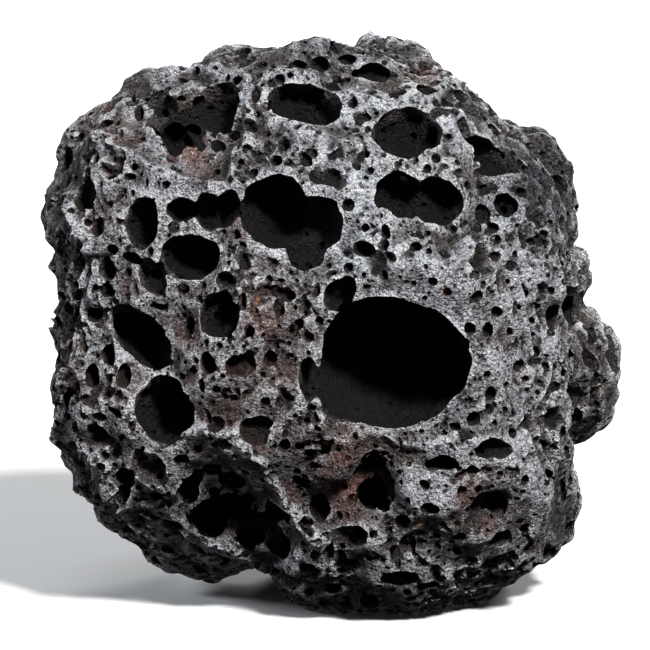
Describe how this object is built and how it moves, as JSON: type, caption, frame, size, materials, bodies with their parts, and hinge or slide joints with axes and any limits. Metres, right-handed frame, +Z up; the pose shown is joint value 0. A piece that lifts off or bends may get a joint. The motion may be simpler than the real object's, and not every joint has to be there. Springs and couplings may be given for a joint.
{
  "type": "vesicular lava rock",
  "caption": "Hand-sized block of dark vesicular lava with round open vesicles, a crusty rim and a worn flat base it stands on.",
  "frame": {"origin": "middle of the bounding box in plan, at the level of the worn flat base", "axes": "+Z up, the face with the large vesicles towards -Y, +X to the right seen from the front"},
  "size_m": [0.087, 0.073, 0.0844],
  "materials": {
    "basalt": "rough, grey ridges with black vesicles"
  },
  "bodies": {
    "root": {"lava_rock": "basalt"}
  },
  "joints": []
}
